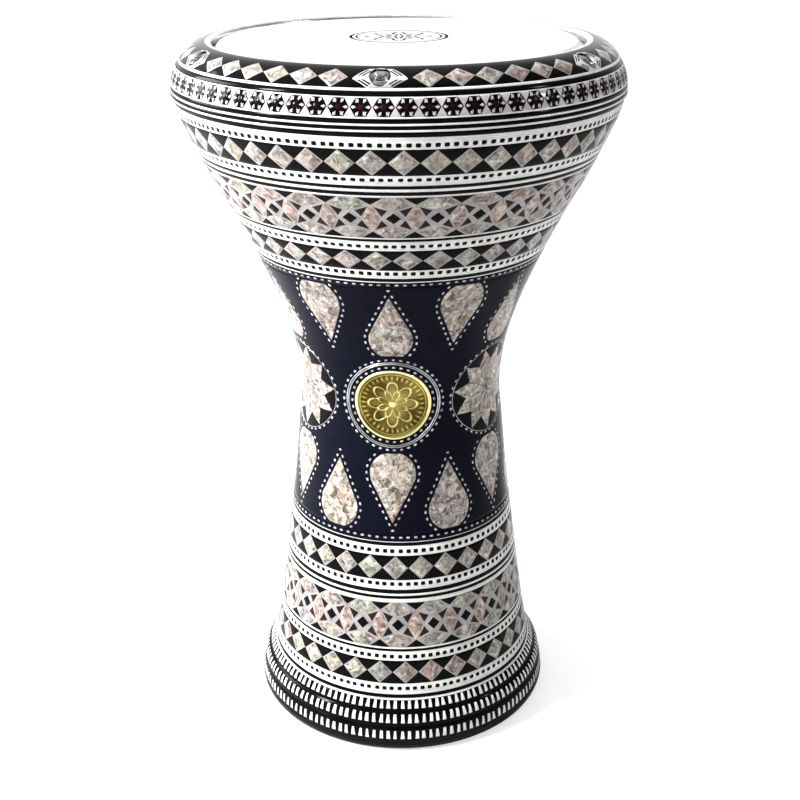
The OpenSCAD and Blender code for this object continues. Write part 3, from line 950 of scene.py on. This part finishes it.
def crown_hoop():
    """The black ground of the diamond band, with a round hole for each bolt's pocket."""
    ground = crown["black"]
    half = SIXTH / 2
    steps = 240
    side, f = np.divmod(np.arange(steps) / steps * 4, 1)
    one = np.ones(steps)
    on_side = [side == 0, side == 1, side == 2]
    corner_x = np.select(on_side, [one, 1 - 2 * f, -one], 2 * f - 1)
    corner_y = np.select(on_side, [2 * f - 1, one, 1 - 2 * f], -one)
    s_mid, s_half = (s_low + s_high) / 2, (s_high - s_low) / 2 - EDGE
    outer_angle, outer_s = corner_x * half, s_mid + corner_y * s_half
    s_bolt = float(skin.s_on_crown(BOLT_CIRCLE))
    direction = np.arctan2((outer_s - s_bolt), outer_angle * BOLT_CIRCLE)
    px, py = POCKET_R * np.cos(direction), -POCKET_R * np.sin(direction)
    hole_angle = np.arctan2(px, BOLT_CIRCLE + py)
    hole_s = skin.s_on_crown(np.hypot(px, BOLT_CIRCLE + py))
    for k in range(6):
        middle = FRONT + k * SIXTH
        rows = []
        for share in np.linspace(0, 1, 16):
            a = outer_angle + (hole_angle - outer_angle) * share
            s = outer_s + (hole_s - outer_s) * share
            rows.append(skin.place(middle + a, s, 0.0))
        rows.append(skin.place(middle + hole_angle, hole_s, -1.0))
        ground.rings(np.concatenate(rows), steps, [True] * 15 + [False], closed_end=False)


crown_hoop()
BETWEEN = 6  # diamonds between two bolts, where a bolt takes up two cells
CELL = SIXTH / (BETWEEN + 2)
wide, tall = CELL * float(skin.r_at(S_DIAMOND)) / 2, DIAMOND_TALL / 2
for k in range(6):
    for n in range(BETWEEN):
        lay = on_band(FRONT + k * SIXTH + (n + 1.5) * CELL, S_DIAMOND)
        tile(crown["outline"], rhomb(wide, tall) * TOUCHING, lay, 0.06, 0.08, 1.2)
        tile(crown["pearl"], rhomb(wide - 1.1, tall - 1.0), lay, 0.12, 0.14, 1.2)
crown.build()

plates = Sorted("bolt_surround", "ring", "bolt_surrounds")
LINES = [(0.92, 0.83), (0.76, 0.67)]  # shares of the way out from the plate's middle to its edge
plate_middle = np.array([0, PLATE_MID])
outer = around_pocket(PLATE * TOUCHING)
hole = POCKET_R * outer / np.linalg.norm(outer, axis=1)[:, None]
rows = [(outer, -SINK), (outer, 0.03)]
rows += [(outer + (hole - outer) * f, 0.07) for f in np.linspace(0.03, 1, 8)]
rows.append((hole, -1.0))
for k in range(6):
    lay = in_plan(FRONT + k * SIXTH, BOLT_CIRCLE)
    points = np.concatenate([lay(p[:, 0], p[:, 1], np.full(len(p), up)) for p, up in rows])
    shading = [False, False] + [True] * 7 + [False]
    plates["plate"].rings(points, len(outer), shading, closed_end=False)
    for q in (0, 2, 3, 5):
        a, b = PLATE[q] - plate_middle, PLATE[(q + 1) % 6] - plate_middle
        start, end = (0.25, 0.95) if q in (0, 3) else (0.05, 0.75)
        for far, near in LINES:
            corners = [(far, start), (far, end), (near, end), (near, start)]
            line = [plate_middle + (a + (b - a) * t) * scale for scale, t in corners]
            tile(plates["black"], line, lay, 0.12, 0.06, 1.2)
plates.build()


# ---------- bolts ----------

HEAD_H, SHANK_R, TIP_R = 6.0, 2.98, 2.0
SOCKET_DEEP, SOCKET_FLATS = 3.0, 5.0
THREAD_PITCH, THREAD_DEEP, PLAIN_NECK = 1.0, 0.55, 2.0


def bolt(name, number):
    """Socket head screw with a knurled head, a hexagon socket and a threaded shank."""
    low, high = node_box(name)
    x, y = (low.x + high.x) / 2, (low.y + high.y) / 2
    head_r = (high.x - low.x) / 2
    top, seat = high.z, high.z - HEAD_H

    def level(r, z, a):
        return np.stack([x + r * np.sin(a), y - r * np.cos(a), np.full(len(a), z)], 1)

    steps = 240
    a = np.arange(steps) * math.tau / steps
    plain = np.ones(steps)
    knurl = head_r - 0.12 + 0.12 * np.cos(40 * a)
    hexagon = SOCKET_FLATS / 2 / np.cos((a + SIXTH / 2) % SIXTH - SIXTH / 2)
    rows = [(knurl - 0.35, seat), (knurl, seat + 0.4), (knurl, top - 1.1),
            ((head_r - 0.45) * plain, top - 0.75), ((head_r - 0.75) * plain, top - 0.25),
            ((head_r - 1.05) * plain, top), (hexagon + 0.22, top), (hexagon, top - 0.2),
            (hexagon, top - SOCKET_DEEP), (0.5 * plain, top - SOCKET_DEEP - 0.5)]
    points = [level(r, z, a) for r, z in rows]
    points.append(np.array([[x, y, top - SOCKET_DEEP - 0.55]]))
    parts = Pieces()
    parts.rings(np.concatenate(points), steps, [False] * 3 + [True] * 3 + [False] * 3)
    turns = 40
    a = np.arange(turns) * math.tau / turns
    points = [np.array([[x, y, low.z]]), level(TIP_R, low.z, a)]
    for z in np.arange(low.z + 1.0, seat + 0.2, THREAD_PITCH / 4):
        wave = np.abs(((z / THREAD_PITCH - a / math.tau) % 1.0) * 2 - 1)
        r = np.full(turns, SHANK_R) if z > seat - PLAIN_NECK else SHANK_R - THREAD_DEEP * (1 - wave)
        points.append(level(r, z, a))
    smooth = [True] * (len(points) - 3) + [False, False]
    points.reverse()
    parts.rings(np.concatenate(points), turns, smooth)
    parts.build(f"{name}_screw", CHROME, f"bolt_{number}", "bolt_chrome", name)


for number, name in enumerate(BOLTS, 1):
    bolt(name, number)


# ---------- head label ----------

film_top = heights("head_film")[1]
LABEL_R, LABEL_BACK = 29.0, 10.0
INK_UP, INK_FOOT = 0.03, 0.004


def printed(into, line, wide):
    """A closed line of ink on the head, around the label's middle."""
    line = np.asarray(line, float) + (0, LABEL_BACK)
    ahead = np.roll(line, -1, 0) - np.roll(line, 1, 0)
    side = np.stack([-ahead[:, 1], ahead[:, 0]], 1)
    side *= wide / 2 / np.linalg.norm(side, axis=1)[:, None]
    rows = [(line + side, INK_FOOT), (line + side * 0.8, INK_UP),
            (line - side * 0.8, INK_UP), (line - side, INK_FOOT)]
    n = len(line)
    points = np.concatenate([np.column_stack([p, np.full(n, film_top + up)]) for p, up in rows])
    faces = []
    for k in range(4):
        above = (k + 1) % 4
        for i in range(n):
            j = (i + 1) % n
            faces.append((k * n + j, k * n + i, above * n + i, above * n + j))
    into.add(points, faces, [False] * len(faces))


label = Pieces()
printed(label, circle(LABEL_R, 180), 2.0)
printed(label, circle(LABEL_R - 3.4, 180), 1.3)
around = np.linspace(0, math.tau, 240, endpoint=False)
for reach, sway, wide in ((15.5, 4.5, 1.8), (7.5, 2.8, 1.5)):
    petal = reach + sway * np.cos(8 * around)
    printed(label, np.stack([petal * np.cos(around), petal * np.sin(around)], 1), wide)
printed(label, circle(2.6, 48), 1.4)
label.build("head_label", INK, "drum", "head_film")


# ---------- CAD nodes that stay, with better materials ----------

for node, look in (("shell", CASTING), ("head_film", FILM), ("tuning_ring", LIP), ("flesh_hoop", HOOP)):
    for material_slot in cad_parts[node].material_slots:
        material_slot.material = look


# ---------- studio ----------

DRUM_MIDDLE = Vector((0, 0, 0.24))
FLOOR_GLOW = 0.60  # how far the floor is lifted towards white for the camera


def floor():
    """Pale floor that carries on far behind, and is seen brighter than it shines on the drum."""
    look = Look("studio_floor", specular_ior_level=0.1, emission_color=(1.0, 1.0, 1.0))
    cloud = look.noise(look.place(), 2.0, 3.0)
    seen = look.math("MULTIPLY", look.add("LightPath", "Is Camera Ray"), FLOOR_GLOW)
    colour = look.ramp(cloud, [(0.3, (0.54, 0.54, 0.543)), (0.7, (0.555, 0.555, 0.56))])
    material = look.done(base_color=colour, roughness=look.span(cloud, 0.75, 0.85),
                         emission_strength=seen)
    mesh = bpy.data.meshes.new("studio_floor")
    half, cells, below = 12.0, 24, 0.0002
    row = cells + 1
    line = np.linspace(-half, half, row)
    points = [(x, y, -below) for y in line for x in line]
    corners = [j * row + i for j in range(cells) for i in range(cells)]
    faces = [(c, c + 1, c + row + 1, c + row) for c in corners]
    mesh.from_pydata(points, [], faces)
    mesh.materials.append(material)
    new_object("studio_floor", mesh)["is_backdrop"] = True


def softbox(name, at, size, power):
    light = bpy.data.lights.new(name, "AREA")
    light.shape = "RECTANGLE"
    light.size, light.size_y = size
    light.energy = power
    lamp = new_object(name, light)
    lamp.location = at
    lamp.rotation_euler = (DRUM_MIDDLE - Vector(at)).to_track_quat("-Z", "Y").to_euler()


def surroundings(seen, front, back):
    """White backdrop for the camera. As light it glows from behind and stays dim in front."""
    brightest = Vector((-0.8, 0.6, 0.0))
    world = bpy.data.worlds.new("studio")
    world.use_nodes = True
    bpy.context.scene.world = world
    nodes, links = world.node_tree.nodes, world.node_tree.links
    background = nodes["Background"]
    background.inputs["Color"].default_value = (1, 1, 1, 1)
    direction = nodes.new("ShaderNodeTexCoord")
    split = nodes.new("ShaderNodeVectorMath")
    split.operation = "DOT_PRODUCT"
    split.inputs[1].default_value = brightest
    strength = nodes.new("ShaderNodeMapRange")
    limits = {"From Min": -0.5, "From Max": 0.6, "To Min": front, "To Max": back}
    for socket, value in limits.items():
        strength.inputs[socket].default_value = value
    links.new(direction.outputs["Generated"], split.inputs[0])
    links.new(split.outputs["Value"], strength.inputs["Value"])
    links.new(strength.outputs[0], background.inputs["Strength"])
    backdrop = nodes.new("ShaderNodeBackground")
    backdrop.inputs["Color"].default_value = (1, 1, 1, 1)
    backdrop.inputs["Strength"].default_value = seen
    path = nodes.new("ShaderNodeLightPath")
    choose = nodes.new("ShaderNodeMixShader")
    links.new(path.outputs["Is Camera Ray"], choose.inputs[0])
    links.new(background.outputs[0], choose.inputs[1])
    links.new(backdrop.outputs[0], choose.inputs[2])
    links.new(choose.outputs[0], nodes["World Output"].inputs[0])


def camera(at, tilt, pan, roll, lens):
    """Camera at the photograph's viewing angle; tilt is below the horizon."""
    level = math.cos(tilt)
    ahead = Vector((math.sin(pan) * level, math.cos(pan) * level, -math.sin(tilt)))
    right = ahead.cross(Vector((0, 0, 1))).normalized()
    up = right.cross(ahead)
    side = right * math.cos(roll) + up * math.sin(roll)
    over = up * math.cos(roll) - right * math.sin(roll)
    data = bpy.data.cameras.new("camera")
    data.lens = lens
    turn = Matrix((side, over, -ahead)).transposed()
    piece = new_object("camera", data)
    piece.matrix_world = Matrix.Translation(at) @ turn.to_4x4()
    bpy.context.scene.camera = piece


floor()
surroundings(1.0, 0.20, 1.45)
softbox("softbox_left", (-1.5, -0.6, 1.25), (0.30, 0.5), 78)
softbox("softbox_rim", (-1.7, 0.5, 0.95), (0.9, 0.9), 42)
softbox("softbox_right", (1.55, -0.4, 1.2), (0.16, 0.36), 8)
softbox("softbox_top", (0, 0.3, 2.2), (1.6, 1.6), 4)
camera((0, -0.785, 0.5443), *np.radians((23.086, -0.037, -0.322)).tolist(), 57.52)
bpy.context.scene.view_settings.view_transform = "Standard"

boxes = {"cad": CAD_BOX, "visual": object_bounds()}
{key: [list(low), list(high)] for key, (low, high) in boxes.items()}
